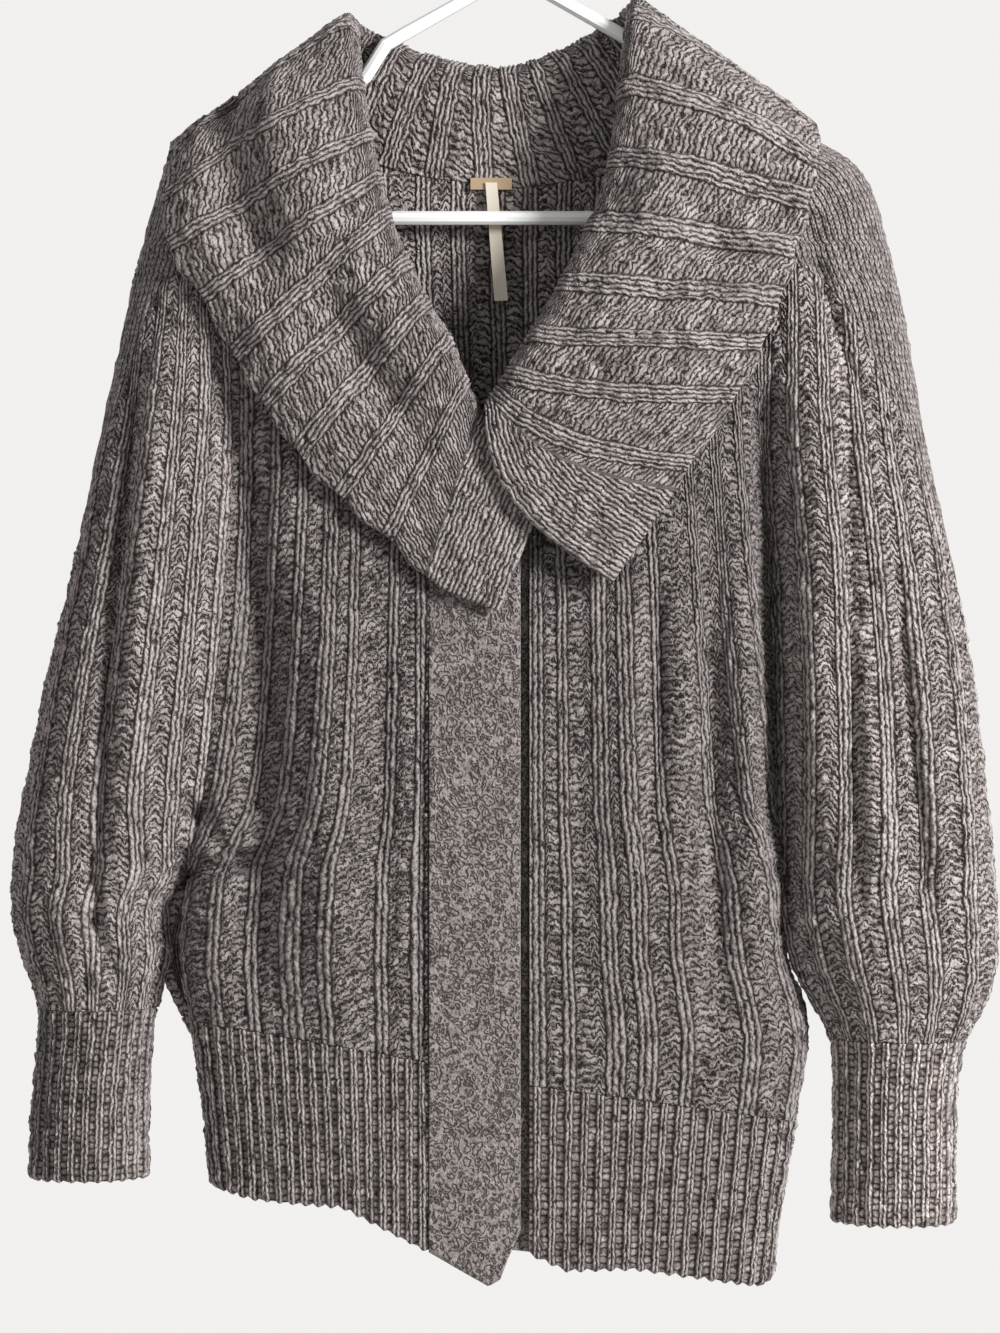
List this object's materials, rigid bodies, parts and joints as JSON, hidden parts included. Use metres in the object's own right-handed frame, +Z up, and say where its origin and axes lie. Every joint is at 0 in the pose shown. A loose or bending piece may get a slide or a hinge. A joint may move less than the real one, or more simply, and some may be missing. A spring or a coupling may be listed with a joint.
{
  "type": "shawl collar cardigan on a clothes hanger",
  "caption": "Open-front knitted cardigan with a wide shawl collar, full sleeves in ribbed cuffs, a ribbed hem and plain front bands, hanging on a tubular clothes hanger.",
  "frame": {"origin": "top of the rod inside the hanger's hook, where the hook rests", "axes": "+Z up, -Y out of the garment's front, +X to the left side of the wearer"},
  "size_m": [0.5889, 0.1175, 0.8652],
  "materials": {
    "body_knit": "chunky marled wool knit in vertical ribs",
    "sleeve_knit": "chunky marled wool knit in vertical ribs",
    "strip_knit": "plain marled wool knit",
    "edge_rib_knit": "marled wool one-by-one rib",
    "band_knit": "marled wool seed stitch",
    "collar_knit": "marled wool knit with ribs across the collar",
    "tan_tab": "woven tab",
    "cream_tape": "woven cotton tape",
    "white_plastic": "smooth satin"
  },
  "bodies": {
    "root": {"back": "body_knit", "front_right": "body_knit", "front_left": "body_knit", "sleeve_right": "sleeve_knit", "sleeve_left": "sleeve_knit", "shoulder_strip_right": "strip_knit", "shoulder_strip_left": "strip_knit", "cuff_right": "edge_rib_knit", "cuff_left": "edge_rib_knit", "hem_front_right": "edge_rib_knit", "hem_front_left": "edge_rib_knit", "hem_back": "edge_rib_knit", "band_right": "band_knit", "band_left": "band_knit", "collar": "collar_knit", "neck_tab": "tan_tab", "neck_tape": "cream_tape", "hanger_frame": "white_plastic", "hanger_hook": "white_plastic"}
  },
  "joints": []
}
